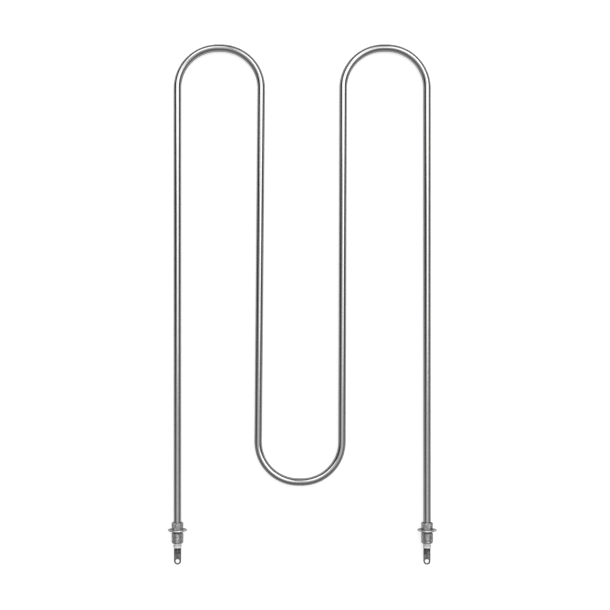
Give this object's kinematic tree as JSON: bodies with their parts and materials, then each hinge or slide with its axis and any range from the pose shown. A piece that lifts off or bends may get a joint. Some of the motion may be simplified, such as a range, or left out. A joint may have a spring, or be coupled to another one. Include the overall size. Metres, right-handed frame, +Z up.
{
  "type": "tubular heating element",
  "caption": "Metal-sheathed tubular heater bent into a flat M, with a flanged threaded bushing, ceramic bead and screw lug at each end.",
  "frame": {"origin": "midway between the two bushings, on the plane where both flanges seat, at the height of the tube's axis", "axes": "+Y along the legs, from the bushings to the two far bends; +Z up from the surface that the flat M lies on"},
  "size_m": [0.309, 0.5985, 0.022],
  "materials": {
    "sheath_steel": "satin",
    "bushing_steel": "satin",
    "lug_steel": "satin",
    "pin_steel": "satin",
    "resistance_wire": "satin",
    "white_ceramic": "matte",
    "magnesia_powder": "matte",
    "sealing_resin": "matte"
  },
  "bodies": {
    "root": {"sheath_tube": "sheath_steel", "magnesia_fill": "magnesia_powder", "resistance_coil": "resistance_wire", "left_threaded_bushing": "bushing_steel", "left_ceramic_insulator": "white_ceramic", "left_end_seal": "sealing_resin", "left_cold_pin": "pin_steel", "left_terminal_lug": "lug_steel", "right_threaded_bushing": "bushing_steel", "right_ceramic_insulator": "white_ceramic", "right_end_seal": "sealing_resin", "right_cold_pin": "pin_steel", "right_terminal_lug": "lug_steel"}
  },
  "joints": []
}
